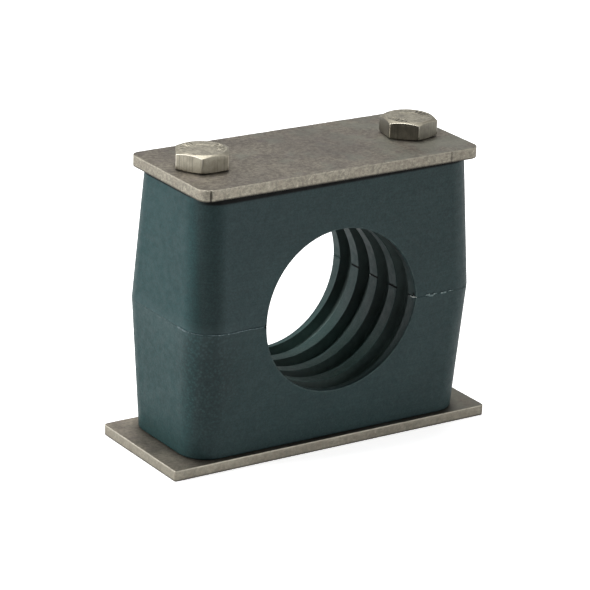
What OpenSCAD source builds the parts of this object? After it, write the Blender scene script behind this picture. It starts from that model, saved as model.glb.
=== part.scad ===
// Two-bolt tube clamp for damping vibration in hydraulic lines.
// Two equal plastic halves grip the tube between a weld plate and a cover plate.
// Origin: centre of the weld plate's underside. X runs along the plates, Y along
// the tube and Z up. All sizes are in millimetres.

/* [Tube seat] */
// Outside diameter of the tube that the two halves grip
tube_d = 38; // [20:0.5:60]
// How far the closed seat lies inside the tube's surface, so that the halves grip it before they meet
grip = 0.5; // [0.1:0.1:1]
// Number of grooves moulded round the seat
groove_count = 4; // [1:1:6]
// Width of each groove along the tube
groove_w = 4.3; // [2:0.1:6]
// Depth of the grooves below the lands that touch the tube
groove_depth = 2.6; // [0.5:0.1:4]
// Width of the lands between the grooves
land_w = 3; // [1.5:0.1:5]
// Width of the outermost land at each mouth, at the split
end_land_w = 2.9; // [2.6:0.1:5]

/* [Clamp halves] */
// Plastic left between a groove and a bolt hole
bolt_wall = 1.5; // [0.8:0.1:6]
// Plastic between the seat and the outer face of a half
saddle_wall = 10.5; // [9.5:0.5:20]
// From a bolt's centre to the end of a half, at the split
half_end = 9.5; // [9.3:0.1:16]
// How far each end leans in between the split and the outer face
end_lean = 1.1; // [0.2:0.1:1.2]
// How far each broad face leans in between the split and the outer face
face_lean = 2.2; // [0.2:0.1:3]
// Radius of the upright corners at the split
corner_r = 6.4; // [3:0.1:9]
// Radius of the upright corners at the outer face
outer_corner_r = 4.4; // [2:0.1:6]
// Gap round the corners of a weld nut in its pocket
pocket_side_gap = 0.7; // [0.3:0.1:1]
// Gap between the end of a weld nut and the floor of its pocket
pocket_end_gap = 1; // [0.5:0.1:2]

/* [Plates] */
// Width of the steel strip that both plates are cut from
strip_w = 30; // [24:0.5:40]
// Thickness of the cover plate
cover_t = 2.5; // [1.5:0.1:5]
// From a bolt's centre to the end of the cover plate
cover_end = 8.8; // [7:0.1:14]
// Corner radius of the cover plate
cover_corner_r = 2.5; // [0.5:0.1:5]
// Thickness of the weld plate
weld_t = 2.4; // [1.5:0.1:6]
// From a bolt's centre to the end of the weld plate
weld_end = 13.8; // [9:0.1:30]
// Corner radius of the weld plate, almost sharp as it is sheared
weld_corner_r = 0.5; // [0.3:0.1:3]

/* [Bolts] */
// Outside diameter of the bolt's thread
bolt_d = 6.35; // [4:0.05:8]
// Gap round a bolt in the halves and in the cover plate
bolt_gap = 0.4; // [0.2:0.1:0.8]
// Size of a bolt's head across its flats
head_af = 11.1; // [9.5:0.1:14]
// Height of a bolt's head
head_h = 4; // [3:0.1:6]
// Gap left between a bolt's tip and the weld plate's upper face
tip_gap = 0.5; // [0.3:0.1:2]
// Bevel at a bolt's tip
tip_bevel = 0.7; // [0.3:0.1:1]
// How far the left bolt's head is turned, in degrees
left_turn = 59; // [0:1:59]
// How far the right bolt's head is turned, in degrees
right_turn = 16; // [0:1:59]

/* [Weld nuts] */
// Size of a weld nut across its flats
nut_af = 11.1; // [9.5:0.1:11.8]
// Height of a weld nut above the plate
nut_h = 6; // [4:0.5:9]
// Running gap between a bolt and the bore of its nut
thread_gap = 0.05; // [0.02:0.01:0.1]
// Wall of the collar that centres a nut in its plate hole
collar_wall = 0.9; // [0.5:0.1:1.2]
// How far the collar reaches into the weld plate
collar_h = 1.2; // [0.5:0.1:1.4]
// Gap between the collar and its plate hole
collar_gap = 0.1; // [0.05:0.01:0.3]

/* [Hidden] */
$fn = 96;

// Overrun of a cutting shape past the face that it opens
cut_over = 1;
// Slope of the bevel on a hexagon's top, from the flat face
hex_bevel_angle = 30;
// Diameter of the flat on a hexagon's top, as a share of its flats
hex_flat_share = 0.95;

seat_r = tube_d / 2 - grip;
groove_r = seat_r + groove_depth;
hole_r = bolt_d / 2 + bolt_gap;
bolt_x = groove_r + bolt_wall + hole_r;

split_w = groove_count * groove_w + (groove_count - 1) * land_w + 2 * end_land_w;
split_len = 2 * (bolt_x + half_end);
outer_w = split_w - 2 * face_lean;
outer_len = split_len - 2 * end_lean;
half_h = seat_r + saddle_wall;

split_z = weld_t + half_h;
cover_z = split_z + half_h;
head_z = cover_z + cover_t;
bolt_len = head_z - weld_t - tip_gap;

pocket_r = hex_corner_r(nut_af) + pocket_side_gap;
pocket_depth = nut_h + pocket_end_gap;
nut_bore_r = bolt_d / 2 + thread_gap;
collar_r = nut_bore_r + collar_wall;

steel = [0.55, 0.53, 0.50];
zinc = [0.66, 0.66, 0.65];
plastic = [0.20, 0.28, 0.28];

// Distance from the centre of a hexagon to its corners
function hex_corner_r(across_flats) = across_flats / 2 / cos(30);

// Place of the groove with the given number along the tube
function groove_y(i) = (i - (groove_count - 1) / 2) * (groove_w + land_w);

// A plate cut from strip, with a hole of radius r round each bolt
module strip_plate(end, thick, edge_r, r) {
    linear_extrude(height = thick)
        difference() {
            plate_outline(2 * (bolt_x + end), strip_w, edge_r);
            for (side = [-1, 1])
                translate([side * bolt_x, 0])
                    circle(r = r);
        }
}

// A plate's outline from two bars and four corner discs, so its corners stay true arcs
module plate_outline(len, wid, r) {
    square([len - 2 * r, wid], center = true);
    square([len, wid - 2 * r], center = true);
    for (x = [-1, 1], y = [-1, 1])
        translate([x * (len / 2 - r), y * (wid / 2 - r)])
            circle(r = r);
}

// A hexagon prism that stands on z = 0, with the corners of its top bevelled
module bevelled_hexagon(across_flats, height) {
    flat_r = hex_flat_share * across_flats / 2;
    intersection() {
        cylinder(r = hex_corner_r(across_flats), h = height, $fn = 6);
        cylinder(r1 = flat_r + height / tan(hex_bevel_angle), r2 = flat_r, h = height);
    }
}

// The solid block of a half: its sides and its round corners all lean in from the split
module leaning_block() {
    hull()
        for (x = [-1, 1], y = [-1, 1])
            leaning_corner(
                x * (split_len / 2 - corner_r),
                y * (split_w / 2 - corner_r),
                x * (outer_len / 2 - outer_corner_r),
                y * (outer_w / 2 - outer_corner_r)
            );
}

// One corner of the block: a cone sheared from (x1, y1) at the split to (x2, y2) at the outer face
module leaning_corner(x1, y1, x2, y2) {
    multmatrix([
        [1, 0, (x2 - x1) / half_h, x1],
        [0, 1, (y2 - y1) / half_h, y1],
        [0, 0, 1, 0]
    ])
        cylinder(r1 = corner_r, r2 = outer_corner_r, h = half_h, $fn = 72);
}

// A cylinder along the tube, used to cut the seat and its grooves
module tube_cutter(r, len) {
    rotate([90, 0, 0])
        cylinder(r = r, h = len, center = true);
}

// One moulded half with its split face on z = 0 and its outer face above.
// All four sides lean in from the split, so that it leaves its mould.
module clamp_half() {
    difference() {
        leaning_block();
        tube_cutter(seat_r, split_w + 2 * cut_over);
        for (i = [0 : groove_count - 1])
            translate([0, groove_y(i), 0])
                tube_cutter(groove_r, groove_w);
        for (side = [-1, 1])
            translate([side * bolt_x, 0, 0])
                bolt_passage();
    }
}

// The bolt hole of a half, with the pocket in its outer face for a weld nut
module bolt_passage() {
    translate([0, 0, -cut_over])
        cylinder(r = hole_r, h = half_h + 2 * cut_over);
    translate([0, 0, half_h - pocket_depth])
        cylinder(r = pocket_r, h = pocket_depth + cut_over);
}

// A hexagon nut with a collar that drops into the weld plate's hole
module weld_nut() {
    difference() {
        union() {
            bevelled_hexagon(nut_af, nut_h);
            translate([0, 0, -collar_h])
                cylinder(r = collar_r, h = collar_h);
        }
        translate([0, 0, -collar_h - cut_over])
            cylinder(r = nut_bore_r, h = collar_h + nut_h + 2 * cut_over);
    }
}

// A hexagon bolt with the underside of its head on z = 0
module hex_bolt() {
    bevelled_hexagon(head_af, head_h);
    translate([0, 0, tip_bevel - bolt_len])
        cylinder(r = bolt_d / 2, h = bolt_len - tip_bevel);
    translate([0, 0, -bolt_len])
        cylinder(r1 = bolt_d / 2 - tip_bevel, r2 = bolt_d / 2, h = tip_bevel);
}

module weld_plate() {
    color(steel)
        strip_plate(weld_end, weld_t, weld_corner_r, collar_r + collar_gap);
}

module cover_plate() {
    color(steel)
        translate([0, 0, cover_z])
            strip_plate(cover_end, cover_t, cover_corner_r, hole_r);
}

module clamp_half_lower() {
    color(plastic)
        translate([0, 0, split_z])
            mirror([0, 0, 1])
                clamp_half();
}

module clamp_half_upper() {
    color(plastic)
        translate([0, 0, split_z])
            clamp_half();
}

module placed_nut(side) {
    color(zinc)
        translate([side * bolt_x, 0, weld_t])
            weld_nut();
}

module placed_bolt(side, turn) {
    color(zinc)
        translate([side * bolt_x, 0, head_z])
            rotate([0, 0, turn])
                hex_bolt();
}

module weld_nut_left() placed_nut(-1);
module weld_nut_right() placed_nut(1);
module bolt_left() placed_bolt(-1, left_turn);
module bolt_right() placed_bolt(1, right_turn);

weld_plate();
weld_nut_left();
weld_nut_right();
clamp_half_lower();
clamp_half_upper();
cover_plate();
bolt_left();
bolt_right();
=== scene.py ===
import math
from functools import reduce

import bmesh
import bpy
from mathutils import Matrix, Vector, noise


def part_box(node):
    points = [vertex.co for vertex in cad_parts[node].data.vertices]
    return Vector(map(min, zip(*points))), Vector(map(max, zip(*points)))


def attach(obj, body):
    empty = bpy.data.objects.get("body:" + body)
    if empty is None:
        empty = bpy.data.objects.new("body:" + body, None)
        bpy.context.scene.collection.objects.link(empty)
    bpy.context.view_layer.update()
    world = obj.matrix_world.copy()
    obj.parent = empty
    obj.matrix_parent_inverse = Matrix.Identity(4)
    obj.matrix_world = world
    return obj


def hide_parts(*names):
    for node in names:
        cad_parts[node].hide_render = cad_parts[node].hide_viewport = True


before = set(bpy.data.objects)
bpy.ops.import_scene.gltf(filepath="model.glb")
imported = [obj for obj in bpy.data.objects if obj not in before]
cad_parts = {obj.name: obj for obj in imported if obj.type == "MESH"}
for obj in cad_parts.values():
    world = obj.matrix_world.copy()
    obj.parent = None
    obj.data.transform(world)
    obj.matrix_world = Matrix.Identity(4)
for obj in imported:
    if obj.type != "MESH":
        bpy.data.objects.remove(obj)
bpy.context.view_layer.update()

# Shapes are made in millimetres and scaled to metres at the end of their making.
MM = 0.001
SCENE = bpy.context.scene


def box_mm(node):
    """Lowest and highest corner of a CAD node, in millimetres."""
    lo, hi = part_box(node)
    return lo / MM, hi / MM


LOWER_LO, LOWER_HI = box_mm("clamp_half_lower")
UPPER_LO, UPPER_HI = box_mm("clamp_half_upper")
COVER_LO, COVER_HI = box_mm("cover_plate")
WELD_LO, WELD_HI = box_mm("weld_plate")
BOLT_TIP_Z = box_mm("bolt_left")[0].z

# Sizes of the clamp halves
SPLIT_Z = LOWER_HI.z
HALF_H = UPPER_HI.z - SPLIT_Z
SPLIT_L = UPPER_HI.x - UPPER_LO.x
SPLIT_W = UPPER_HI.y - UPPER_LO.y
END_LEAN = 1.1
FACE_LEAN = 2.2
CORNER_R = 6.4
HALF_FOOT = (SPLIT_L - 2 * END_LEAN, SPLIT_W - 2 * FACE_LEAN, CORNER_R)
BOLT_X = 26.175
HOLE_R = 3.575
POCKET_R = 7.1
POCKET_DEPTH = 7.0
# The seat is less than a half circle: the centre of its arc lies SEAT_DROP past the split
SEAT_R = 19.0
SEAT_DROP = 0.95
SEAT_HALF = math.sqrt(SEAT_R ** 2 - SEAT_DROP ** 2)
GROOVE_R = 21.5
GROOVE_W = 4.3
LAND_W = 3.0
GROOVES = 4
# Sizes of the bolts and nuts, whose hexagons are drawn a little inside the solids
HEAD_AF = 11.1
NUT_AF = 11.1
HEX_INSET = 0.04
HEAD_FLAT_R = 5.22
HEAD_H = 4.0
HEAD_Z = COVER_HI.z
BOLT_LEN = HEAD_Z - BOLT_TIP_Z
SHANK_R = 3.165
THREAD_LEN = 19.0
PITCH = 1.27
NUT_BORE = 3.225
COLLAR_R = 4.125
# Rings of points for each turn of a thread, and points round each hole
TURN_RINGS = 12
HOLE_POINTS = 64
# An eased edge has its middle point this share of its size inside both faces
BELLY = 0.3


# Mesh tools

def add_object(name, data):
    ob = bpy.data.objects.new(name, data)
    SCENE.collection.objects.link(ob)
    return ob


def mesh_from_rings(name, rings, closed=False):
    """A solid skin through rings of equally many points. Its ends are capped, or joined if closed."""
    count = len(rings[0])
    verts = [v for ring in rings for v in ring]
    faces = []
    last = len(rings) if closed else len(rings) - 1
    for k in range(last):
        a, b = k * count, ((k + 1) % len(rings)) * count
        for i in range(count):
            j = (i + 1) % count
            faces.append((a + i, a + j, b + j, b + i))
    if not closed:
        faces.append(tuple(range(count - 1, -1, -1)))
        faces.append(tuple(range((len(rings) - 1) * count, len(rings) * count)))
    me = bpy.data.meshes.new(name)
    me.from_pydata(verts, [], faces)
    bm = bmesh.new()
    bm.from_mesh(me)
    bmesh.ops.recalc_face_normals(bm, faces=bm.faces)
    bm.to_mesh(me)
    bm.free()
    return add_object(name, me)


def remove(ob):
    me = ob.data
    bpy.data.objects.remove(ob)
    bpy.data.meshes.remove(me)


def join(name, obs):
    """One mesh object from several, in the same place."""
    bm = bmesh.new()
    for ob in obs:
        bm.from_mesh(ob.data)
    me = bpy.data.meshes.new(name)
    bm.to_mesh(me)
    bm.free()
    for ob in obs:
        remove(ob)
    return add_object(name, me)


def cut(ob, cutter):
    """Takes the cutter away from the object, exactly, and removes the cutter."""
    mod = ob.modifiers.new("cut", "BOOLEAN")
    mod.operation = "DIFFERENCE"
    mod.solver = "EXACT"
    mod.object = cutter
    graph = bpy.context.evaluated_depsgraph_get()
    me = bpy.data.meshes.new_from_object(ob.evaluated_get(graph))
    ob.modifiers.clear()
    old, ob.data = ob.data, me
    bpy.data.meshes.remove(old)
    remove(cutter)


def finish_piece(ob, body, node, mats, pick=None, sharp=38.0, weighted=True):
    """Scales to metres, sets the shading and materials, hangs the piece under the empty of the body it rides
    on, and hides the CAD node it replaces.

    pick gives a face's material from its centre and normal. Without it the faces keep theirs.
    """
    me = ob.data
    me.transform(Matrix.Scale(MM, 4))
    kinds = [pick(p.center / MM, p.normal) if pick else p.material_index for p in me.polygons]
    me.materials.clear()
    for m in mats:
        me.materials.append(m)
    for p, kind in zip(me.polygons, kinds):
        p.use_smooth = True
        p.material_index = kind
    me.set_sharp_from_angle(angle=math.radians(sharp))
    if weighted:
        mod = ob.modifiers.new("normals", "WEIGHTED_NORMAL")
        mod.keep_sharp = True
        mod.weight = 60
    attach(ob, body)
    if node:
        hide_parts(node)


def wobble(x, y, z, seed=0.0):
    """Smooth noise from -1 to 1 with features about one unit wide."""
    return noise.noise(Vector((x + seed * 7.31, y - seed * 3.17, z + seed * 1.93)))


def step_between(a, b, x):
    """0 up to a, 1 from b on, and a smooth rise between them."""
    t = min(1.0, max(0.0, (x - a) / (b - a)))
    return t * t * (3 - 2 * t)


def rounded_outline(length, width, r, per_corner, step=0.0):
    """Points round a rectangle with rounded corners. A step above 0 adds points along its sides."""
    arcs = []
    for sx, sy, start in ((1, 1, 0), (-1, 1, 90), (-1, -1, 180), (1, -1, 270)):
        cx, cy = sx * (length / 2 - r), sy * (width / 2 - r)
        arc = []
        for k in range(per_corner + 1):
            a = math.radians(start + 90 * k / per_corner)
            arc.append((cx + r * math.cos(a), cy + r * math.sin(a)))
        arcs.append(arc)
    out = []
    for i, arc in enumerate(arcs):
        out.extend(arc)
        if step:
            a, b = arc[-1], arcs[(i + 1) % 4][0]
            dist = math.hypot(b[0] - a[0], b[1] - a[1])
            n = max(1, int(round(dist / step)))
            out.extend((a[0] + (b[0] - a[0]) * k / n, a[1] + (b[1] - a[1]) * k / n) for k in range(1, n))
    return out


def with_normals(outline):
    """Each point of a closed outline with its outward normal, as (x, y, nx, ny)."""
    out = []
    for i, (x, y) in enumerate(outline):
        ax, ay = outline[i - 1]
        bx, by = outline[(i + 1) % len(outline)]
        nx, ny = by - ay, ax - bx
        size = math.hypot(nx, ny)
        out.append((x, y, nx / size, ny / size))
    return out


def hole_ring(x, r, z):
    """Points round a bolt's axis at x."""
    angles = (2 * math.pi * i / HOLE_POINTS for i in range(HOLE_POINTS))
    return [(x + r * math.cos(a), r * math.sin(a), z) for a in angles]


# Clamp halves

def mouth_y(theta):
    """Where the leaning face stands at the rim of the seat."""
    rise = abs(math.sin(theta) * SEAT_R - SEAT_DROP) / HALF_H
    return SPLIT_W / 2 - FACE_LEAN * rise


def seat_profile(theta):
    """Radius and place along the tube, from one mouth to the other, with every edge eased."""
    mouth, edge, root, draft = 0.3, 0.12, 0.35, 0.12
    # outside the half the cutter is wider than the seat and reaches past the face
    wide, past = SEAT_R + 1.3, 3
    y = mouth_y(theta)
    half = [
        (wide, SPLIT_W / 2 + past), (wide, y + 0.16), (SEAT_R + mouth, y),
        (SEAT_R + BELLY * mouth, y - BELLY * mouth), (SEAT_R, y - mouth),
    ]
    # radius of each point of a groove's wall, and how far it stands outside the groove
    wall = [
        (SEAT_R, edge), (SEAT_R + BELLY * edge, BELLY * edge), (SEAT_R + edge, 0),
        (GROOVE_R - root, -draft), (GROOVE_R - BELLY * root, -draft - BELLY * root),
        (GROOVE_R, -draft - root),
    ]
    pts = list(half)
    for i in reversed(range(GROOVES)):
        mid = (i - (GROOVES - 1) / 2) * (GROOVE_W + LAND_W)
        pts += [(r, mid + GROOVE_W / 2 + out) for r, out in wall]
        pts += [(r, mid - GROOVE_W / 2 - out) for r, out in reversed(wall)]
    pts += [(r, -v) for r, v in reversed(half)]
    return pts


def seat_cutter():
    """What is cut away for the seat and its grooves."""
    steps = 192
    angles = [2 * math.pi * (i + 0.5) / steps for i in range(steps)]
    profiles = [seat_profile(a) for a in angles]
    rings = []
    for k in range(len(profiles[0])):
        ring = []
        for a, profile in zip(angles, profiles):
            r, y = profile[k]
            ring.append((r * math.cos(a), y, r * math.sin(a) - SEAT_DROP))
        rings.append(ring)
    return mesh_from_rings("seat_cutter", rings)


def passage_cutter():
    """What is cut away for the bolt holes and nut pockets, and to ease the seat's edges on the split."""
    floor = HALF_H - POCKET_DEPTH
    passage = [
        (HOLE_R + 0.6, -0.5), (HOLE_R + 0.1, 0.0), (HOLE_R, 0.25), (HOLE_R, floor),
        (POCKET_R - 0.3, floor), (POCKET_R - 0.1, floor + 0.1), (POCKET_R, floor + 0.3),
        (POCKET_R, HALF_H - 0.3), (POCKET_R + 0.3, HALF_H), (POCKET_R + 0.9, HALF_H + 0.5),
    ]
    ease, past_face = 0.2, 20
    wedge = [(SEAT_HALF + 2 * ease, -ease), (SEAT_HALF - ease, -ease), (SEAT_HALF - ease, 2 * ease)]
    cutters = []
    for side in (-1, 1):
        cutters.append(mesh_from_rings("passage", [hole_ring(side * BOLT_X, r, z) for r, z in passage]))
        ends = [[(side * x, y, z) for x, z in wedge] for y in (-past_face, past_face)]
        cutters.append(mesh_from_rings("ease", ends))
    return join("passages", cutters)


def make_half(name):
    """The upper half with its split face on z = 0, all edges eased."""
    split_edge, outer_edge, corner_points = 0.22, 0.45, 20
    quarter = [math.radians(30 * k) for k in range(4)]
    levels = [(split_edge * (1 - math.sin(a)), split_edge * (1 - math.cos(a))) for a in quarter]
    top = HALF_H - outer_edge
    levels += [(outer_edge * (1 - math.cos(a)), top + outer_edge * math.sin(a)) for a in quarter]
    rings = []
    for inset, z in levels:
        t = z / HALF_H
        length = SPLIT_L - 2 * (END_LEAN * t + inset)
        width = SPLIT_W - 2 * (FACE_LEAN * t + inset)
        outline = rounded_outline(length, width, CORNER_R - inset, corner_points)
        rings.append([(x, y, z) for x, y in outline])
    half = mesh_from_rings(name, rings)
    cut(half, seat_cutter())
    cut(half, passage_cutter())
    return half


def make_halves():
    upper = make_half("half_upper")
    lower = add_object("half_lower", upper.data.copy())
    lower.data.transform(Matrix.Diagonal((1, 1, -1, 1)))
    lower.data.flip_normals()
    for ob in (upper, lower):
        ob.data.transform(Matrix.Translation((0, 0, SPLIT_Z)))
    return upper, lower


def half_kind(c, n):
    """1 for a face of a groove, which lies outside the lands and within the outermost groove, or 0."""
    reach = (GROOVES - 1) / 2 * (GROOVE_W + LAND_W) + GROOVE_W / 2
    rho = math.hypot(c.x, abs(c.z - SPLIT_Z) + SEAT_DROP)
    return int(SEAT_R + 0.1 < rho < GROOVE_R + 0.1 and abs(c.y) < reach)


# Plates

def make_plate(name, lo, hi, corner, hole_r, roll, seed, dents):
    """A plate sheared from strip, its top edge rolled over unevenly. Dents are (x, y, reach, depth)."""
    thick = hi.z - lo.z
    outline = with_normals(rounded_outline(hi.x - lo.x, hi.y - lo.y, corner, 14, 0.25))

    def point(place, inset, z):
        x, y, nx, ny = place
        depth = inset + 0.02 + 0.025 * wobble(x * 0.35, y * 0.35, 0.4 * z, seed)
        depth += 0.012 * wobble(x * 2.2, y * 2.2, 0.8 * z, seed + 1)
        for dx, dy, reach, deep in dents:
            away = math.hypot(x - dx, y - dy) / reach
            if away < 3:
                depth += deep * math.exp(-away * away)
        return (x - nx * depth, y - ny * depth, lo.z + z)

    burr = 0.1
    rings = []
    for inset, z in ((burr, 0), (BELLY * burr, BELLY * burr), (0, burr), (0, 0.3 * thick), (0, 0.6 * thick)):
        rings.append([point(place, inset, z) for place in outline])
    rolls = []
    for x, y, nx, ny in outline:
        slow = wobble(x * 0.5, y * 0.5, 0, seed + 2)
        quick = wobble(x * 1.7, y * 1.7, 0, seed + 3)
        rolls.append(roll * (1 + 0.35 * slow + 0.25 * quick))
    roll_steps, roll_depth = 5, 0.6
    for k in range(roll_steps + 1):
        a = math.radians(90 * k / roll_steps)
        ring = []
        for place, r in zip(outline, rolls):
            ring.append(point(place, r * (1 - math.cos(a)), thick - roll_depth * r * (1 - math.sin(a))))
        rings.append(ring)
    plate = mesh_from_rings(name, rings)

    ease = 0.2
    wall = [
        (hole_r + ease + 0.5, -0.5), (hole_r + ease, 0), (hole_r, ease),
        (hole_r, thick - ease), (hole_r + ease, thick), (hole_r + ease + 0.5, thick + 0.5),
    ]
    holes = []
    for side in (-1, 1):
        holes.append(mesh_from_rings("hole", [hole_ring(side * BOLT_X, r, lo.z + z) for r, z in wall]))
    cut(plate, join("holes", holes))
    return plate


def plate_kind(c, n):
    """0 for a plate's broad faces, 1 for its edge."""
    return 0 if abs(n.z) > 0.9 else 1


# Bolts and nuts

def hexagon_r(angle, flats):
    """Distance to a hexagon's side, with slightly rounded corners."""
    power = 90
    total = 0.0
    for k in range(6):
        c = math.cos(angle - math.radians(60 * k + 30))
        if c > 0:
            total += c ** power
    return flats / 2 / total ** (1 / power)


def soft_min(a, b):
    """The smaller of two radii, with a round change from one to the other."""
    power = 70
    return (a ** -power + b ** -power) ** (-1 / power)


def hexagon_angles():
    """Angles round a hexagon, closer together near its corners."""
    per_side, crowding = 24, 0.55
    out = []
    for k in range(6):
        for i in range(per_side):
            t = i / per_side
            t -= math.sin(2 * math.pi * t) / (2 * math.pi) * crowding
            out.append(math.radians(60 * k) + math.radians(60) * t)
    return out


def thread_r(angle, z, crest, depth):
    """Radius of a screw thread at an angle and a height."""
    root_share, flank_share = 0.08, 0.78
    t = (z / PITCH - angle / (2 * math.pi)) % 1.0
    rise = min(1.0, max(0.0, (abs(2 * t - 1) - root_share) / flank_share))
    return crest - depth * (1 - rise)


def dash_mask(r, angle, centres):
    """1 on a dash stamped into a bolt's head, 0 off it. Each group has five dashes."""
    spacing = 14
    along = step_between(3.0, 3.15, r) * (1 - step_between(4.65, 4.8, r))
    mask = 0.0
    for centre in centres:
        for k in (-2, -1, 0, 1, 2):
            off = angle - math.radians(centre + spacing * k)
            across = abs(math.atan2(math.sin(off), math.cos(off))) * r
            mask = max(mask, (1 - step_between(0.12, 0.28, across)) * along)
    return mask


def head_top(r, angle, seed, centres):
    """Depth below the head's highest point: a shallow dish and two groups of short radial dashes."""
    drop = 0.04 + 0.07 * (1 - step_between(2.5, 2.9, r))
    drop += 0.012 * wobble(r * math.cos(angle), r * math.sin(angle), 0, seed)
    return drop + 0.12 * dash_mask(r, angle, centres)


# Finishes of a bolt, in the order of its material slots
BOLT_PARTS = ("top", "flat", "rim", "shank", "mark", "bevel", "flat_shaded")
TOP, FLAT, RIM, SHANK, MARK, BEVEL, FLAT_SHADED = range(7)
# Height and radius of the rings under the head, and of those at the tip, measured from it
UNDER_HEAD = ((0.22, 5.2), (0.2, 5.12), (0.04, 5.08), (0.0, 5.0), (0.0, 3.5), (-0.08, 3.24), (-0.3, SHANK_R))
TIP = ((0.35, 2.45), (0.05, 2.25), (0.0, 2.15))


def make_bolt(name, x, turn, seed, shaded_sides, rim_sides, dashes):
    """A hexagon bolt whose rings follow the arches where its bevel meets the flats."""
    centres = [c - turn for c in dashes]
    angles = hexagon_angles()
    turn = math.radians(turn)
    slope, ease = math.tan(math.radians(22)), 0.1
    rings, kinds = [], []

    def ring(kind, radius, height):
        points = []
        for a in angles:
            r = radius(a)
            points.append((x + r * math.cos(a + turn), r * math.sin(a + turn), HEAD_Z + height(a)))
        rings.append(points)
        kinds.append(kind)

    def edge(a):
        return hexagon_r(a, HEAD_AF - HEX_INSET)

    def bevel_z(r):
        return HEAD_H - 0.1 - (r - HEAD_FLAT_R) * slope

    def bevel_r(a, share):
        inner = HEAD_FLAT_R + 0.03
        return inner + (edge(a) - ease - inner) * share

    # rings lie close together where the dashes are
    for r in [0.1, 0.5, 1.0, 1.6, 2.1] + [2.4 + 0.1 * k for k in range(26)] + [5.05]:
        ring(TOP, lambda a: r, lambda a: HEAD_H - head_top(r, a, seed, centres))
    ring(BEVEL, lambda a: 5.14, lambda a: HEAD_H - 0.055)
    for share in (0.0, 0.4, 0.8, 1.0):
        kind = RIM if share == 1.0 else BEVEL
        ring(kind, lambda a: bevel_r(a, share), lambda a: bevel_z(bevel_r(a, share)))
    # a small round between the bevel and the flat
    for t in (0.25, 0.5, 0.75, 1.0):
        inset = ease * (1 - t) ** 2
        rise = inset * slope - ease * t ** 2
        ring(RIM if t < 1 else FLAT, lambda a: edge(a) - inset, lambda a: bevel_z(edge(a)) + rise)
    foot = 0.45
    for share in (0.25, 0.5, 0.75):
        ring(FLAT, edge, lambda a: foot + (bevel_z(edge(a)) - ease - foot) * (1 - share))
    for z, reach in ((foot, 6.6), (0.38, 6.36), (0.3, 6.15), (0.24, 5.75)):
        ring(FLAT if z > 0.3 else SHANK, lambda a: soft_min(edge(a), reach), lambda a: z)
    for z, r in UNDER_HEAD:
        ring(SHANK, lambda a: r, lambda a: z)

    start, lead, end = THREAD_LEN - BOLT_LEN, 0.4, 0.8
    for z in (-10.0, -20.0, -30.0, start + 0.6):
        ring(SHANK, lambda a: SHANK_R, lambda a: z)
    samples = int((THREAD_LEN + lead - end) * TURN_RINGS / PITCH)
    for k in range(samples + 1):
        z = start + lead - k * PITCH / TURN_RINGS
        depth = 0.75 * step_between(start + lead, start - 1.2, z)
        ring(SHANK, lambda a: thread_r(a, z, SHANK_R, depth), lambda a: z)
    for z, r in TIP:
        ring(SHANK, lambda a: r, lambda a: z - BOLT_LEN)

    bolt = mesh_from_rings(name, rings)
    count = len(angles)
    for i, face in enumerate(bolt.data.polygons):
        # the last two faces are the caps of the top and the tip
        if i < count * (len(rings) - 1):
            kind = kinds[i // count]
        else:
            kind = TOP if face.normal.z > 0 else SHANK
        across, along = face.center.x - x, face.center.y
        angle = math.atan2(along, across) - turn
        side, past_corner = divmod(math.degrees(angle) % 360, 60)
        if kind == TOP and dash_mask(math.hypot(across, along), angle, centres) > 0.4:
            kind = MARK
        # only the listed sides keep the rim's painted highlight
        if kind == RIM and side not in rim_sides:
            kind = BEVEL
        # faces at the hexagon's corners take the rim's painted highlight
        if kind == FLAT and min(past_corner, 60 - past_corner) < 1.0:
            kind = RIM
        # flats of the shaded sides take the copy with more painted shade
        if kind == FLAT and side in shaded_sides:
            kind = FLAT_SHADED
        face.material_index = kind
    return bolt


def make_nut(name, node):
    """A weld nut. Its rings run over the top, down the sides and the collar, and up the threaded bore."""
    lo, hi = box_mm(node)
    x = (lo.x + hi.x) / 2
    seat = WELD_HI.z
    height = hi.z - seat
    collar = seat - lo.z
    angles = hexagon_angles()[::2]
    rings = []

    def ring(z, radius):
        rings.append([(x + radius(a) * math.cos(a), radius(a) * math.sin(a), seat + z) for a in angles])

    slope = math.tan(math.radians(30))
    ring(height - 0.02, lambda a: 3.8)
    for drop in (0.02, 0.08, 0.16, 0.26, 0.36, 0.5, 0.7, 1.0, 3.0):
        cone = HEAD_FLAT_R + drop / slope
        ring(height - drop, lambda a: soft_min(hexagon_r(a, NUT_AF - HEX_INSET), cone))
    ring(0.15, lambda a: hexagon_r(a, NUT_AF - HEX_INSET))
    ring(0.02, lambda a: hexagon_r(a, NUT_AF - 0.2))
    collar_rings = (
        (0.02, COLLAR_R + 0.15), (-0.05, COLLAR_R - 0.02), (-collar + 0.2, COLLAR_R - 0.02),
        (-collar + 0.03, COLLAR_R - 0.15), (-collar, COLLAR_R - 0.4),
    )
    for z, r in collar_rings:
        ring(z, lambda a: r)
    samples = int((height + collar - 0.6) * TURN_RINGS / PITCH)
    for k in range(samples + 1):
        z = -collar + 0.3 + k * PITCH / TURN_RINGS
        ring(z, lambda a: thread_r(a, z, NUT_BORE + 0.35, 0.33))
    return mesh_from_rings(name, rings, closed=True)


# Parting flash

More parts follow.
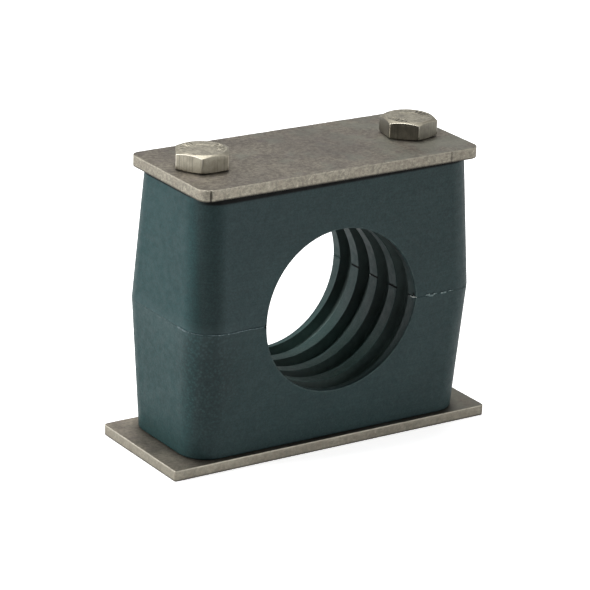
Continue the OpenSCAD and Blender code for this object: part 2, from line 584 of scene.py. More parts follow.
# Where the flash stands out: centre along the parting line, half length, reach, half thickness and lift
FRONT_FLASH = (
    (-34.6, 1.8, 0.1, 0.035, 0.0), (-31.0, 2.4, 0.14, 0.07, 0.03), (-27.4, 1.8, 0.11, 0.09, -0.06),
    (-24.2, 2.4, 0.15, 0.06, 0.05), (-21.2, 1.7, 0.16, 0.05, 0.0),
    (22.0, 0.7, 0.16, 0.1, 0.22), (22.9, 0.9, 0.2, 0.16, -0.1), (24.0, 0.6, 0.16, 0.12, 0.2),
    (26.1, 1.1, 0.2, 0.15, 0.05), (28.2, 0.9, 0.16, 0.08, 0.18),
)
END_FLASH = ((-9.5, 2.5, 0.1, 0.03, 0.0), (0.0, 20.0, 0.04, 0.13, 0.0))
MAX_REACH = 0.16
# Crumbs of torn plastic: place, half sizes and seed
CRUMBS = (
    ((18.9, -15.5, SPLIT_Z + 0.1), (0.24, 0.46, 0.15), 21),
    ((18.92, -14.7, SPLIT_Z - 0.14), (0.18, 0.66, 0.14), 24),
    ((18.97, 1.3, SPLIT_Z - 0.26), (0.12, 0.22, 0.1), 23),
)
# Finishes of the flash, in the order of its material slots
WEB, TORN, FINE, CHIP = range(4)


def bump_at(s, centre, half, height):
    """A hump along the parting line, with soft ends."""
    away = abs(s - centre)
    return height * (1 - step_between(half * 0.6, half, away)) if away < half else 0.0


def flash_at(x, y):
    """Reach, half thickness and lift of the moulding flash at a point of the parting line."""
    reach = -0.05 + 0.03 * wobble(x * 0.8, y * 0.8, 0, 11) + 0.05 * wobble(x * 2.6, y * 2.6, 0, 12)
    thick = 0.03 + 0.02 * abs(wobble(x * 1.9, y * 1.9, 5, 14))
    lift = 0.04 * wobble(x * 1.3, y * 1.3, 3, 13)
    if y < (-12 if x < -34.5 else -8):
        place, humps = x, FRONT_FLASH
    else:
        place, humps = y, END_FLASH if abs(x) > 30 else ()
    for centre, half, out, half_thick, up in humps:
        reach += bump_at(place, centre, half, out)
        thick += bump_at(place, centre, half, half_thick)
        lift += bump_at(place, centre, half, up)
    return min(MAX_REACH, reach), thick, lift


def add_crumb(bm, spot, size, seed):
    for v in bmesh.ops.create_icosphere(bm, subdivisions=2, radius=1.0)["verts"]:
        swell = 1 + 0.4 * wobble(v.co.x * 1.5, v.co.y * 1.5, v.co.z * 1.5, seed)
        v.co = Vector(spot) + Vector((v.co.x * size[0], v.co.y * size[1], v.co.z * size[2])) * swell


def make_flash():
    """A thin web in the groove between the halves, left by the mould, with its crumbs."""
    outline = with_normals(rounded_outline(SPLIT_L, SPLIT_W, CORNER_R, 36, 0.2))
    count = len(outline)
    inner, tip_hi, tip_lo = [], [], []
    for x, y, nx, ny in outline:
        reach, thick, lift = flash_at(x, y)
        inner.append((x - nx * 0.3, y - ny * 0.3, SPLIT_Z))
        tip_hi.append((x + nx * reach, y + ny * reach, SPLIT_Z + lift + thick))
        tip_lo.append((x + nx * (reach - 0.02), y + ny * (reach - 0.02), SPLIT_Z + lift - thick))
    # there is no flash across the mouths of the seat
    kept = [abs(x) >= SEAT_R + 0.05 for x, y, nx, ny in outline]
    verts, faces = inner + tip_hi + tip_lo, []
    for i in range(count):
        j = (i + 1) % count
        if kept[i] and kept[j]:
            faces.append((i, j, count + j, count + i))
            faces.append((count + i, count + j, 2 * count + j, 2 * count + i))
            faces.append((2 * count + i, 2 * count + j, j, i))
        if kept[i] != kept[j]:
            k = i if kept[i] else j
            faces.append((k, count + k, 2 * count + k))
    me = bpy.data.meshes.new("parting_flash")
    me.from_pydata(verts, [], faces)
    bm = bmesh.new()
    bm.from_mesh(me)
    loose = [v for v in bm.verts if not v.link_faces]
    bmesh.ops.delete(bm, geom=loose, context="VERTS")
    for spot, size, seed in CRUMBS:
        add_crumb(bm, spot, size, seed)
    bmesh.ops.recalc_face_normals(bm, faces=bm.faces)
    bm.to_mesh(me)
    bm.free()
    return add_object("parting_flash", me)


def flash_kind(c, n):
    """The finish of the flash at a face. The crumbs and the torn chip lie at the seat's right edge."""
    if 0 < c.x < 19.35:
        return CHIP
    if flash_at(c.x, c.y)[0] <= 0.02:
        return WEB
    return TORN if c.x > 0 else FINE


# Materials

def add_node(tree, kind, props=None, inputs=None):
    """Adds a shader node. Its inputs are named or given by their place, and each is an output or a value."""
    node = tree.nodes.new("ShaderNode" + kind)
    for key, value in (props or {}).items():
        setattr(node, key, value)
    for key, value in (inputs or {}).items():
        if isinstance(value, bpy.types.NodeSocket):
            tree.links.new(value, node.inputs[key])
        else:
            node.inputs[key].default_value = value
    return node


def rgb(r, g, b):
    return (r, g, b, 1.0)


def shades(tone):
    """A maker of colours that are all scaled by one tone."""
    return lambda r, g, b: rgb(r * tone, g * tone, b * tone)


class Finish:
    """A principled material, with short calls that add nodes to it."""

    def __init__(self, name, **sockets):
        self.mat = bpy.data.materials.new(name)
        self.mat.use_nodes = True
        self.tree = self.mat.node_tree
        self.shader = self.tree.nodes["Principled BSDF"]
        for key, value in sockets.items():
            self.shader.inputs[key.replace("_", " ")].default_value = value
        place = self.add("TexCoord").outputs["Object"]
        self.mm = self.scaled(place, 1 / MM)
        self.x, self.y, self.z = self.add("SeparateXYZ", {}, {0: self.mm}).outputs

    def add(self, kind, props=None, inputs=None):
        return add_node(self.tree, kind, props, inputs)

    def math(self, operation, a, b=0.0, c=0.0):
        return self.add("Math", {"operation": operation}, {0: a, 1: b, 2: c}).outputs[0]

    def size(self, a):
        return self.math("ABSOLUTE", a)

    def product(self, *parts):
        return reduce(lambda a, b: self.math("MULTIPLY", a, b), parts)

    def largest(self, *parts):
        return reduce(lambda a, b: self.math("MAXIMUM", a, b), parts)

    def vector(self, operation, a, b=(0, 0, 0)):
        return self.add("VectorMath", {"operation": operation}, {0: a, 1: b}).outputs["Vector"]

    def scaled(self, a, by):
        return self.add("VectorMath", {"operation": "SCALE"}, {0: a, "Scale": by}).outputs["Vector"]

    def length(self, a):
        return self.add("VectorMath", {"operation": "LENGTH"}, {0: a}).outputs["Value"]

    def distance(self, spot, stretch=(1, 1, 1)):
        """Distance from a spot in millimetres, with each axis stretched."""
        return self.length(self.vector("MULTIPLY", self.vector("SUBTRACT", self.mm, spot), stretch))

    def outside(self, length, width, r):
        """How far a point stands outside an upright block with rounded corners, centred on the origin."""
        reach = self.vector("ABSOLUTE", self.vector("MULTIPLY", self.mm, (1, 1, 0)))
        past = self.vector("SUBTRACT", reach, (length / 2 - r, width / 2 - r, 0))
        return self.math("SUBTRACT", self.length(self.vector("MAXIMUM", past)), r)

    def noise(self, scale, detail, rough, stretch=None, distortion=0.0, shift=0.0):
        """Cloudy noise, its scale in features per millimetre. A shift gives it another pattern."""
        at = self.mm
        if stretch or shift:
            mapping = {0: at, "Scale": stretch or (1, 1, 1), "Location": (shift, shift, shift)}
            at = self.add("Mapping", {}, mapping).outputs[0]
        inputs = {"Vector": at, "Scale": scale, "Detail": detail, "Roughness": rough}
        inputs["Distortion"] = distortion
        return self.add("TexNoise", {}, inputs).outputs["Fac"]

    def cells(self, scale):
        return self.add("TexVoronoi", {}, {"Vector": self.mm, "Scale": scale}).outputs["Distance"]

    def span(self, value, a, b, to_a=0.0, to_b=1.0, smooth=True):
        """Maps a to to_a and b to to_b, and holds the ends."""
        props = {"interpolation_type": "SMOOTHSTEP" if smooth else "LINEAR", "clamp": True}
        inputs = {"Value": value, "From Min": a, "From Max": b, "To Min": to_a, "To Max": to_b}
        return self.add("MapRange", props, inputs).outputs["Result"]

    def blend(self, share, a, b):
        """Mixes colour a with a share of colour b."""
        return self.add("Mix", {"data_type": "RGBA"}, {0: share, 6: a, 7: b}).outputs[2]

    def use(self, **sockets):
        for key, value in sockets.items():
            self.tree.links.new(value, self.shader.inputs[key.replace("_", " ")])

    def bump(self, *layers):
        """Layers of height, strength and depth in millimetres, one on the other."""
        normal = None
        for height, strength, depth in layers:
            inputs = {"Height": height, "Strength": strength, "Distance": depth * MM}
            if normal:
                inputs["Normal"] = normal
            normal = self.add("Bump", {}, inputs).outputs["Normal"]
        self.use(Normal=normal)


class HalfFinish(Finish):
    """The plastic of one half, with the places that its marks are set out from."""

    def __init__(self, name, upper):
        super().__init__(name, IOR=1.49, Specular_IOR_Level=0.25)
        self.upper = upper
        # how far a point stands from the split, and how far it lies behind the leaning broad faces
        self.off_split = self.size(self.math("SUBTRACT", SPLIT_Z, self.z))
        face = self.math("MULTIPLY_ADD", self.off_split, -FACE_LEAN / HALF_H, SPLIT_W / 2)
        self.behind = self.math("SUBTRACT", face, self.size(self.y))
        bore = self.distance((0, 0, SPLIT_Z), (1, 0, 1))
        within = self.span(bore, GROOVE_R, GROOVE_R - 0.4)
        self.inside = self.product(within, self.span(self.behind, 0.4, 1.0))


def moulded(f, mottle, grain, ribs):
    """The plastic's own colour, cloudy, finely grained and very faintly ribbed."""
    cloud = f.noise(0.09, 4, 0.6)
    colour = f.blend(f.span(cloud, 0.3, 0.7), rgb(0.0103, 0.0300, 0.0312), rgb(0.0134, 0.0368, 0.0380))
    colour = f.blend(f.span(mottle, 0.35, 0.7, 0.0, 0.4), colour, rgb(0.022, 0.046, 0.047))
    dark = f.blend(0.42, colour, rgb(0.004, 0.011, 0.012))
    pale = f.blend(0.08, colour, rgb(0.04, 0.07, 0.072))
    colour = f.blend(f.span(grain, 0.36, 0.64), dark, pale)
    return f.blend(f.span(ribs, 0.4, 0.6, 0.12, 0.0), colour, rgb(0.004, 0.012, 0.012))


def painted_side_light(f, colour):
    """Painted light and shade on a half: paler to the left where the light falls, with a faint painted sheen
    there, painted shade round the corner by the left bolt, and colder ends for the light on them.
    """
    if f.upper:
        corner = f.distance((-33.6, -15.4, 0), (1, 1, 0))
        # painted light paler to the left, and painted shade on the upper left end and round the corner by
        # the left bolt
        tone = f.product(
            f.span(f.x, -30.0, 20.0, 1.16, 1.0, smooth=False),
            f.span(f.x, -34.6, -33.0, 0.88, 1.0),
            f.span(corner, 2.0, 5.6, 0.68, 1.0),
        )
        # a faint painted sheen to the left, away from the corner
        left_sheen = f.product(f.span(f.x, -30.0, 12.0, 0.04, 0.0), f.span(corner, 2.0, 5.6))
        colour = f.blend(left_sheen, colour, rgb(0.09, 0.10, 0.125))
        tint = (0.35, 1, 1)
    else:
        # painted light on the lower left end and in the middle
        tone = f.product(f.span(f.x, -34.5, -33.0, 1.14, 1.05), f.span(f.size(f.x), 20.0, 5.0, 1.0, 1.08))
        tint = (0.6, 1.03, 1.03)
    colour = f.scaled(colour, tone)
    # the ends are tinted colder, a painted colour of the light on them
    return f.blend(f.span(f.size(f.x), 33.4, 34.6), colour, f.vector("MULTIPLY", colour, tint))


def strained(f, colour):
    """Whitened round the split, softly in a field and torn along the edge, most of it at the left end."""
    left = f.span(f.x, -20.0, -33.0)
    field = f.span(f.off_split, 0.0, 3.0 if f.upper else 9.0, 1.0, 0.0)
    field = f.product(field, f.math("MULTIPLY_ADD", left, 0.1, 0.01))
    colour = f.blend(field, colour, rgb(0.085, 0.125, 0.13))
    torn = f.span(f.noise(0.5, 4, 0.7, stretch=(1, 1, 2.4), shift=4.0), 0.5, 0.72)
    near = f.span(f.off_split, 0.0, 1.3, 1.0, 0.0)
    pale = f.product(near, torn, f.math("MULTIPLY_ADD", left, 0.2, 0.08))
    return f.blend(pale, colour, rgb(0.10, 0.14, 0.15))


def leathery(f, colour, pebble):
    """Leathery grain, strongest round the corner by the left bolt."""
    near = f.distance((-32.5, -14.0, SPLIT_Z - 9.0), (1, 1, 0.5))
    share = f.product(f.span(pebble, 0.2, 0.65), f.span(near, 3.0, 10.0, 0.48, 0.1))
    return f.blend(share, colour, rgb(0.003, 0.010, 0.011))


def seated(f, colour):
    """The lands of the seat, with painted shade inside the bore and under its crown, painted light low down,
    and a painted highlight on the rim of its mouths.
    """
    # painted shade on the lands inside the bore
    colour = f.blend(f.product(f.inside, 0.4), colour, rgb(0.0, 0.018, 0.014))
    if f.upper:
        # little light reaches the front land under the crown of the bore
        crown = f.product(f.inside, f.span(f.z, SPLIT_Z + 3.0, SPLIT_Z + 13.0), f.span(f.y, -10.0, -11.0))
        colour = f.blend(f.product(crown, 0.85), colour, rgb(0.0008, 0.002, 0.002))
    else:
        # painted light on the lands low in the seat, most of it near the front but not on the end land, and
        # more to the right
        left_wall = f.product(f.span(f.x, -5.0, -12.0), f.span(f.z, SPLIT_Z - 1.0, SPLIT_Z - 9.0))
        low = f.largest(f.span(f.z, SPLIT_Z - 5.0, SPLIT_Z - 16.0), left_wall)
        front = f.span(f.y, 10.0, -8.0, 0.3, 1.0, smooth=False)
        lands = f.product(low, front, f.span(f.y, -12.3, -12.9, 1.0, 0.3), f.inside)
        lit_lands = f.vector("MULTIPLY", colour, (6.2, 3.3, 3.1))
        lit_lands = f.scaled(lit_lands, f.span(f.x, -2.0, 7.0, 1.0, 1.5))
        colour = f.blend(lands, colour, lit_lands)
    # a painted highlight along the rim of the mouths, uneven along it
    centre = SPLIT_Z - SEAT_DROP if f.upper else SPLIT_Z + SEAT_DROP
    off_rim = f.math("SUBTRACT", f.distance((0, 0, centre), (1, 0, 1)), SEAT_R + 0.2)
    mouth_highlight = f.product(
        f.span(f.size(off_rim), 0.05, 0.2, 1.0, 0.0),
        f.span(f.size(f.behind), 0.25, 0.45, 1.0, 0.0),
        f.span(f.noise(0.35, 4, 0.7, shift=17.0), 0.4, 0.65, 0.03, 0.22),
    )
    return f.blend(mouth_highlight, colour, rgb(0.12, 0.17, 0.16))


def painted_shade_of(f):
    """Where painted shade lies: in the joint with the plate, on the split in the bore, at two spots of its
    rim.
    """
    if f.upper:
        tilted = f.math("MULTIPLY_ADD", f.x, -0.011, f.z)
        outer = f.span(f.size(f.y), 10.0, 13.0)
        broad = f.product(f.span(tilted, UPPER_HI.z - 1.4, UPPER_HI.z - 0.85), outer)
        joint = f.largest(broad, f.span(f.z, UPPER_HI.z - 0.65, UPPER_HI.z - 0.2))
    else:
        joint = f.span(f.z, LOWER_LO.z + 0.32, LOWER_LO.z + 0.05, 0.0, 0.75)
    split_shade = f.product(f.inside, f.span(f.behind, 2.2, 3.2), f.span(f.off_split, 0.16, 0.3, 1.0, 0.0))
    left_spot = f.span(f.distance((-19.2, -15.95, SPLIT_Z)), 0.35, 0.6, 1.0, 0.0)
    right_spot = f.span(f.distance((19.0, -15.2, SPLIT_Z + 0.55)), 0.25, 0.55, 0.8, 0.0)
    return f.largest(joint, split_shade, left_spot, right_spot)


def plastic(name, upper):
    """Deep blue-green moulded plastic with the wear of a half, and its painted light and shade."""
    f = HalfFinish(name, upper)
    mottle = f.noise(0.9, 4, 0.65, distortion=0.4)
    grain = f.noise(2.5, 3, 0.75)
    ribs = f.noise(1.0, 2, 0.5, stretch=(0.03, 0.03, 3.2), shift=2.0)
    colour = strained(f, painted_side_light(f, moulded(f, mottle, grain, ribs)))
    if upper:
        f.bump((ribs, 0.4, 0.014), (grain, 0.6, 0.024), (mottle, 0.25, 0.03))
    else:
        pebble = f.cells(1.5)
        colour = leathery(f, colour, pebble)
        f.bump((ribs, 0.2, 0.01), (grain, 0.6, 0.024), (pebble, 0.4, 0.04), (mottle, 0.3, 0.03))
    # painted shade in the joints with the plates, on the split in the bore and at two spots of the rim,
    # where the plastic is also rougher
    painted_shade = painted_shade_of(f)
    f.use(Base_Color=f.blend(painted_shade, seated(f, colour), rgb(0.0012, 0.0018, 0.0018)))
    rough = f.span(f.noise(0.6, 4, 0.6, shift=9.0), 0.3, 0.7, 0.46, 0.6)
    f.use(Roughness=f.math("MULTIPLY_ADD", painted_shade, 0.35, rough))
    return f.mat


def groove_plastic(name):
    """The same plastic in a groove, matt and mottled, painted paler than the faces as painted light in the
    groove, and palest low on the right where more light is painted.
    """
    f = Finish(name, IOR=1.49)
    groove_mottle = f.noise(0.7, 4, 0.6)
    # paler colours than the faces: painted light in the groove
    colour = f.blend(f.span(groove_mottle, 0.3, 0.75), rgb(0.0370, 0.0570, 0.0530), rgb(0.0540, 0.0790, 0.0740))
    # more painted light low in the seat, most of it on the right
    low = f.span(f.z, SPLIT_Z - 6.0, SPLIT_Z - 18.0)
    painted_light_low = f.math("MULTIPLY_ADD", low, f.span(f.x, -6.0, 8.0, 0.0, 1.6), 0.85)
    f.use(Base_Color=f.scaled(colour, painted_light_low))
    f.use(Roughness=f.span(groove_mottle, 0.3, 0.7, 0.7, 0.85))
    f.bump((f.noise(3.5, 3, 0.7), 0.5, 0.02))
    return f.mat


def plate_face(name, tone, rugged, foot=None):
    """Dull rolled strip: faint lines along its length, fine mottling, cloudy patches and darker stains.

    foot is the length, width and corner radius of a body that stands on the plate.
    """
    f = Finish(name, Metallic=1.0)
    shade = shades(tone)
    cloud = f.noise(0.11, 5, 0.62, distortion=0.6)
    patch = f.noise(0.45, 4, 0.7, distortion=0.8, shift=3.0)
    lines = f.noise(1.0, 4, 0.7, stretch=(0.08, 2.2, 1.0))
    speck = f.noise(1.15, 5, 0.8)
    fine = f.noise(4.0, 3, 0.7)
    stain = f.noise(0.3, 4, 0.65, shift=6.0)
    colour = f.blend(f.span(cloud, 0.38, 0.62), shade(0.170, 0.148, 0.121), shade(0.246, 0.221, 0.176))
    colour = f.blend(f.span(patch, 0.38, 0.62, 0.38 * rugged, 0.0), colour, shade(0.10, 0.086, 0.082))
    colour = f.blend(f.span(lines, 0.3, 0.72, 0.5, 0.0), colour, shade(0.12, 0.108, 0.091))
    dark = f.blend(0.4 * rugged, colour, shade(0.09, 0.081, 0.07))
    pale = f.blend(0.3 * rugged, colour, shade(0.4, 0.37, 0.31))
    colour = f.blend(f.span(speck, 0.4, 0.6), dark, pale)
    colour = f.blend(f.span(fine, 0.35, 0.7, 0.3 * rugged, 0.0), colour, shade(0.11, 0.10, 0.085))
    colour = f.blend(f.span(stain, 0.54, 0.74, 0.0, 0.5), colour, shade(0.15, 0.126, 0.126))
    # colder, greyer patches, more of them to the right
    cold = f.math("MULTIPLY_ADD", f.x, 0.004, f.noise(0.16, 4, 0.65, shift=12.0))
    colour = f.blend(f.span(cold, 0.48, 0.68, 0.0, 0.6), colour, shade(0.180, 0.184, 0.154))
    if foot:
        # painted light, brighter towards the left end, and painted shade round the foot of the body
        colour = f.scaled(colour, f.span(f.x, 25.0, -34.0, 1.0, 1.42))
        off_foot = f.outside(*foot)
        foot_shade = f.largest(f.span(off_foot, 0.05, 0.35, 0.4, 0.0), f.span(off_foot, 0.0, 2.2, 0.34, 0.0))
        colour = f.blend(foot_shade, colour, rgb(0.012, 0.012, 0.011))
    else:
        # a rubbed, darker patch in the middle of the plate
        spread = f.noise(0.12, 3, 0.6, shift=20.0)
        rub = f.math("MULTIPLY_ADD", spread, 14.0, f.distance((4.0, 2.0, HEAD_Z)))
        colour = f.blend(f.span(rub, 12.0, 24.0, 0.3, 0.0), colour, shade(0.11, 0.098, 0.09))
    f.use(Base_Color=colour, Roughness=f.span(cloud, 0.3, 0.7, 0.5, 0.62))
    f.bump((lines, 0.4, 0.014), (speck, 0.45, 0.03), (fine, 0.4, 0.014), (f.noise(0.35, 3, 0.5), 0.2, 0.05))
    return f.mat


def plate_edge(name, lo, hi, tone, torn, edge_highlight, dark_marks=()):
    """Sheared edge: lighter, speckled and torn in short upright strokes, with a painted highlight along its
    upper corner and painted shade along its foot.

    Dark marks are (x, y, reach, strength).
    """
    f = Finish(name, Metallic=1.0)
    shade = shades(tone)
    speck = f.noise(1.5, 5, 0.8)
    stroke = f.noise(1.0, 3, 0.7, stretch=(3.0, 3.0, 0.6))
    patch = f.noise(0.22, 4, 0.6, shift=3.0)
    brown = f.noise(0.5, 4, 0.65, shift=15.0)
    colour = f.blend(f.span(patch, 0.3, 0.7), shade(0.29, 0.268, 0.216), shade(0.38, 0.355, 0.29))
    colour = f.blend(f.span(speck, 0.38, 0.58, 0.55 * torn, 0.0), colour, shade(0.10, 0.092, 0.08))
    colour = f.blend(f.span(stroke, 0.3, 0.5, 0.25 * torn, 0.0), colour, shade(0.12, 0.11, 0.095))
    colour = f.blend(f.span(speck, 0.58, 0.74, 0.0, torn), colour, shade(0.6, 0.57, 0.48))
    colour = f.blend(f.span(brown, 0.45, 0.65, 0.0, 0.3), colour, shade(0.24, 0.20, 0.165))
    # a painted highlight along the upper corner, uneven along the edge
    uneven = f.span(f.noise(0.6, 3, 0.7, shift=5.0), 0.3, 0.7, 0.4, 1.0)
    rim = f.product(f.span(f.z, hi.z - 0.4, hi.z - 0.1), uneven, edge_highlight)
    colour = f.blend(rim, colour, shade(0.6, 0.57, 0.48))
    # painted shade along the foot of the edge
    colour = f.blend(f.span(f.z, lo.z + 0.1, lo.z + 0.45, 0.8, 0.0), colour, rgb(0.03, 0.028, 0.025))
    # dark marks on the edge; where one lies on a dent it is painted shade in the dent
    for x, y, reach, strength in dark_marks:
        off = f.distance((x, y, (lo.z + hi.z) / 2), (1, 1, 0.18))
        dark_mark = f.span(off, reach * 0.5, reach * 1.1, strength, 0.0)
        colour = f.blend(dark_mark, colour, rgb(0.03, 0.026, 0.022))
    # painted shade: darker to the right, round the left corner and at the right end
    painted_dimming = f.product(
        f.span(f.x, -34.0, 38.0, 1.0, 0.77, smooth=False),
        f.span(f.x, -35.0, -34.4, 0.84, 1.0),
        f.span(f.x, hi.x - 1.3, hi.x - 0.1, 1.0, 0.6),
    )
    f.use(Base_Color=f.scaled(colour, painted_dimming), Roughness=f.span(patch, 0.3, 0.7, 0.5, 0.64))
    f.bump((stroke, 0.6, 0.04), (speck, 0.8, 0.05))
    return f.mat


def bolt_finish(name, part, tone, rough, side_shade):
    """Bright cold-formed steel: upright die lines and painted shade on the flats, a cloudy top, a painted
    highlight on the bevel rim and a little painted shade on the bevel.
    """
    f = Finish(name, Metallic=1.0)
    shade = shades(tone)
    cloud = f.noise(0.5, 4, 0.6, distortion=0.5)
    fine = f.noise(4.5, 3, 0.75)
    colour = f.blend(f.span(cloud, 0.3, 0.7), shade(0.28, 0.256, 0.202), shade(0.40, 0.372, 0.296))
    colour = f.blend(f.span(fine, 0.35, 0.65, 0.22, 0.0), colour, shade(0.16, 0.15, 0.125))
    if part in ("flat", "flat_shaded"):
        # painted shade on the flats, stronger on the shaded sides
        colour = f.blend(0.5 if part == "flat_shaded" else side_shade, colour, shade(0.046, 0.05, 0.049))
        die = f.noise(1.0, 3, 0.8, stretch=(2.4, 2.4, 0.05), shift=5.0)
        colour = f.blend(f.span(die, 0.36, 0.48, 0.45, 0.0), colour, shade(0.09, 0.083, 0.07))
        f.bump((die, 0.5, 0.035), (fine, 0.35, 0.012))
    elif part == "top":
        pits = f.noise(1.7, 5, 0.75, shift=11.0)
        dark = f.blend(0.5, colour, shade(0.13, 0.12, 0.096))
        pale = f.blend(0.25, colour, shade(0.62, 0.58, 0.47))
        colour = f.blend(f.span(pits, 0.36, 0.6), dark, pale)
        f.bump((cloud, 0.4, 0.06), (pits, 0.5, 0.05), (fine, 0.6, 0.02))
    elif part == "mark":
        colour = f.blend(0.82, colour, shade(0.06, 0.056, 0.046))
        f.bump((fine, 0.6, 0.03))
    elif part == "rim":
        # a painted highlight on the rim
        colour = f.blend(0.5, colour, shade(0.62, 0.59, 0.51))
        f.bump((cloud, 0.3, 0.05), (fine, 0.3, 0.012))
    else:
        if part == "bevel":
            # a little painted shade on the bevel, toning down its highlight
            colour = f.blend(0.2, colour, shade(0.08, 0.076, 0.066))
        f.bump((cloud, 0.3, 0.04), (fine, 0.4, 0.012))
    f.use(Base_Color=colour, Roughness=f.span(cloud, 0.3, 0.7, rough, rough + 0.1))
    return f.mat


def nut_finish(name):
    """Plain turned steel."""
    f = Finish(name, Metallic=1.0)
    cloud = f.noise(0.4, 4, 0.6)
    fine = f.noise(4.0, 3, 0.7)
    f.use(Base_Color=f.blend(f.span(cloud, 0.3, 0.7), rgb(0.30, 0.28, 0.25), rgb(0.42, 0.40, 0.36)))
    f.use(Roughness=f.span(fine, 0.3, 0.7, 0.38, 0.5))
    f.bump((fine, 0.4, 0.012))
    return f.mat


def flash_finish(name, dark, pale, chip):
    """Thin torn plastic, uneven along its length."""
    f = Finish(name, IOR=1.49, Specular_IOR_Level=0.3)
    colour = f.blend(f.span(f.noise(0.8, 4, 0.7), 0.36, 0.66), rgb(*dark), rgb(*pale))
    colour = f.blend(f.span(f.noise(2.0, 2, 0.6, shift=8.0), 0.54, 0.72), colour, rgb(*chip))
    f.use(Base_Color=colour, Roughness=f.span(f.noise(1.5, 3, 0.6), 0.3, 0.7, 0.5, 0.65))
    return f.mat


# The object

GROOVE = groove_plastic("plastic_groove")
upper_mats = [plastic("plastic_upper", True), GROOVE]
lower_mats = [plastic("plastic_lower", False), GROOVE]
half_upper, half_lower = make_halves()
finish_piece(half_upper, "top", "clamp_half_upper", upper_mats, half_kind)
finish_piece(half_lower, "base", "clamp_half_lower", lower_mats, half_kind)

COVER_DENTS = ((-33.1, -14.9, 0.2, 0.3), (-35.0, 2.0, 0.5, 0.06))
# dark marks on the cover's edge: the first is painted shade in the dent by the front-left corner
COVER_DARK_MARKS = ((-33.1, -14.85, 0.34, 0.85), (27.2, -15.0, 0.3, 0.5))
cover_mats = [
    plate_face("cover_face", tone=1.12, rugged=1.0),
    plate_edge("cover_edge", COVER_LO, COVER_HI, tone=1.1, torn=1.0, edge_highlight=0.3, dark_marks=COVER_DARK_MARKS),
]
cover = make_plate("cover_sheet", COVER_LO, COVER_HI, corner=2.5, hole_r=HOLE_R, roll=0.34, seed=31,
                   dents=COVER_DENTS)
finish_piece(cover, "top", "cover_plate", cover_mats, plate_kind)

WELD_DENTS = ((40.0, -15.0, 0.5, 0.12), (-40.0, 15.0, 0.9, 0.2), (12.0, -15.0, 0.4, 0.05))
weld_mats = [
    plate_face("weld_face", tone=1.06, rugged=0.55, foot=HALF_FOOT),
    plate_edge("weld_edge", WELD_LO, WELD_HI, tone=1.12, torn=0.55, edge_highlight=0.8),
]
weld = make_plate("weld_sheet", WELD_LO, WELD_HI, corner=0.5, hole_r=COLLAR_R + 0.1, roll=0.2, seed=41,
                  dents=WELD_DENTS)
finish_piece(weld, "base", "weld_plate", weld_mats, plate_kind)

# Each bolt's side, turn in degrees, painted brightness, share of painted shade on its plain sides, roughness
# in the order of BOLT_PARTS, sides with more painted shade, sides with a painted highlight on the rim, and
# bearings of its groups of dashes
BOLT_LOOKS = {
    "bolt_left": (
        -1, 59.0, 1.26, 0.16, (0.4, 0.4, 0.36, 0.3, 0.5, 0.44, 0.4),
        (), (2,), (124.0, 340.0),
    ),
    "bolt_right": (
        1, 16.0, 0.99, 0.32, (0.42, 0.44, 0.22, 0.3, 0.5, 0.5, 0.42),
        (0, 1, 2, 4, 5), (3,), (200.0, 0.0),
    ),
}
# the left bolt's higher tone is painted light
for body, look in BOLT_LOOKS.items():
    side, turn, tone, side_shade, roughs, shaded_sides, rim_sides, dashes = look
    mats = []
    for part, rough in zip(BOLT_PARTS, roughs):
        mats.append(bolt_finish(body + "_" + part, part, tone, rough, side_shade))
    bolt = make_bolt("hex_" + body, side * BOLT_X, turn, 50 + side, shaded_sides, rim_sides, dashes)
    finish_piece(bolt, body, body, mats, sharp=50, weighted=False)

nut_mats = [nut_finish("nut_steel")]
for node in ("weld_nut_left", "weld_nut_right"):
    nut = make_nut("shown_" + node, node)
    finish_piece(nut, "base", node, nut_mats, sharp=50, weighted=False)

flash_mats = [
    flash_finish("flash_web", (0.0115, 0.034, 0.036), (0.016, 0.041, 0.043), (0.024, 0.05, 0.052)),
    flash_finish("flash_torn", (0.05, 0.085, 0.085), (0.13, 0.18, 0.18), (0.36, 0.42, 0.41)),
    flash_finish("flash_fine", (0.03, 0.056, 0.06), (0.085, 0.125, 0.135), (0.16, 0.21, 0.22)),
    flash_finish("flash_chip", (0.36, 0.41, 0.4), (0.6, 0.64, 0.62), (0.76, 0.79, 0.76)),
]
finish_piece(make_flash(), "base", None, flash_mats, flash_kind, sharp=60, weighted=False)


# Floor and light

FLOOR_X = (-0.45, 0.7)
FLOOR_Y = (-0.24, 1.1)
# Glow of the floor, and what is added to it for the camera
FLOOR_GLOW, FLOOR_LIFT = 0.22, 0.5
# White that the camera sees behind the floor, the studio's own faint light and its least light
BACKDROP = 1.15
STUDIO, LEAST = 0.015, 0.02
# Direction, tightness and strength of each pool of light in the studio
POOLS = (
    ((1.0, 0.0, 0.2), 8.0, 0.12),
    ((0.71, 0.71, 0.2), 8.0, 0.8),
    ((0.0, 1.0, 0.2), 8.0, 0.25),
    ((-0.82, 0.57, 0.2), 8.0, 3.5),
    ((-1.0, 0.0, 0.2), 8.0, 0.3),
    ((0.0, -1.0, 0.2), 8.0, 0.09),
    ((0.79, -0.61, 0.2), 8.0, 3.9),
    ((0.0, 0.0, 1.0), 3.0, 0.1),
)
# Name, place, target, size and power of each lamp
LAMPS = (
    ("key", (-0.72, 0.24, 0.45), (0, 0, 0.035), 0.35, 4.6),
    ("over", (0.05, 0.25, 0.9), (0, 0, 0.03), 0.5, 6.4),
)


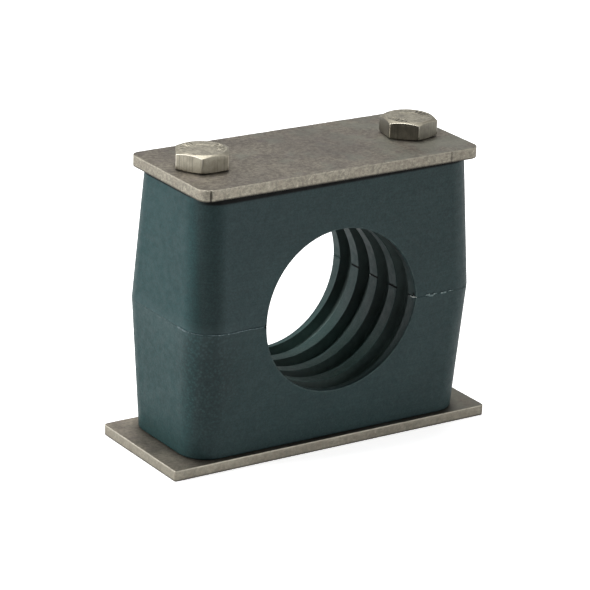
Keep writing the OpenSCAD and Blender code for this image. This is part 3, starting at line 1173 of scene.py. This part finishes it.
def make_floor():
    """A pale floor, lifted to the photograph's white where the camera sees it."""
    (x0, x1), (y0, y1) = FLOOR_X, FLOOR_Y
    me = bpy.data.meshes.new("floor")
    me.from_pydata([(x0, y0, 0), (x1, y0, 0), (x1, y1, 0), (x0, y1, 0)], [], [(0, 1, 2, 3)])
    mat = bpy.data.materials.new("pale_floor")
    mat.use_nodes = True
    tree = mat.node_tree
    shader = tree.nodes["Principled BSDF"]
    shader.inputs["Base Color"].default_value = rgb(0.86, 0.86, 0.86)
    shader.inputs["Roughness"].default_value = 0.9
    shader.inputs["Emission Color"].default_value = rgb(1, 1, 1)
    seen = add_node(tree, "LightPath").outputs["Is Camera Ray"]
    inputs = {0: seen, 1: FLOOR_LIFT, 2: FLOOR_GLOW}
    glow = add_node(tree, "Math", {"operation": "MULTIPLY_ADD"}, inputs)
    tree.links.new(glow.outputs[0], shader.inputs["Emission Strength"])
    me.materials.append(mat)
    add_object("floor", me)


def make_lamp(name, place, target, size, power):
    data = bpy.data.lights.new(name, "AREA")
    data.shape = "SQUARE"
    data.size = size
    data.energy = power
    ob = add_object(name, data)
    ob.location = place
    ob.rotation_mode = "QUATERNION"
    ob.rotation_quaternion = (Vector(place) - Vector(target)).to_track_quat("Z", "Y")


def make_world():
    """A dim studio with soft pools of light round the object. The camera sees it plain white."""
    world = bpy.data.worlds.new("studio")
    SCENE.world = world
    world.use_nodes = True
    tree = world.node_tree
    tree.nodes.clear()
    place = add_node(tree, "TexCoord").outputs["Generated"]

    def number(operation, a, b):
        return add_node(tree, "Math", {"operation": operation}, {0: a, 1: b}).outputs[0]

    total = STUDIO
    for direction, tightness, strength in POOLS:
        inputs = {0: place, 1: Vector(direction).normalized()}
        dot = add_node(tree, "VectorMath", {"operation": "DOT_PRODUCT"}, inputs)
        pool = number("POWER", number("MAXIMUM", dot.outputs["Value"], 0.0), tightness)
        total = number("ADD", number("MULTIPLY", pool, strength), total)
    lit = add_node(tree, "Background", {}, {"Strength": number("MAXIMUM", total, LEAST)})
    shown = add_node(tree, "Background", {}, {"Color": rgb(1, 1, 1), "Strength": BACKDROP})
    seen = add_node(tree, "LightPath").outputs["Is Camera Ray"]
    mix = add_node(tree, "MixShader", {}, {0: seen, 1: lit.outputs[0], 2: shown.outputs[0]})
    add_node(tree, "OutputWorld", {}, {"Surface": mix.outputs[0]})


make_floor()
make_world()
for lamp in LAMPS:
    make_lamp(*lamp)


# Camera

# The photograph's camera: bearing, height and roll in degrees, distance and aim in metres
AZIMUTH, ELEVATION, ROLL = -34.022, 19.864, 2.285
DISTANCE = 0.690
AIM = Vector((0.000464, 0.002976, 0.029006))
FOCAL_PX, FRAME_PX, SENSOR = 3185.636, 590.0, 36.0
CLIP_START, CLIP_END = 0.05, 20.0


def make_camera():
    turn = Matrix.Rotation(math.radians(AZIMUTH), 4, "Z")
    turn @= Matrix.Rotation(math.radians(90 - ELEVATION), 4, "X")
    turn @= Matrix.Rotation(math.radians(ROLL), 4, "Z")
    back = turn.col[2].to_3d()
    data = bpy.data.cameras.new("camera")
    data.sensor_width = SENSOR
    data.lens = FOCAL_PX / FRAME_PX * SENSOR
    data.clip_start, data.clip_end = CLIP_START, CLIP_END
    ob = add_object("camera", data)
    ob.matrix_world = Matrix.Translation(AIM + back * DISTANCE) @ turn
    SCENE.camera = ob


make_camera()
SCENE.view_settings.view_transform = "Standard"
SCENE.view_settings.look = "None"
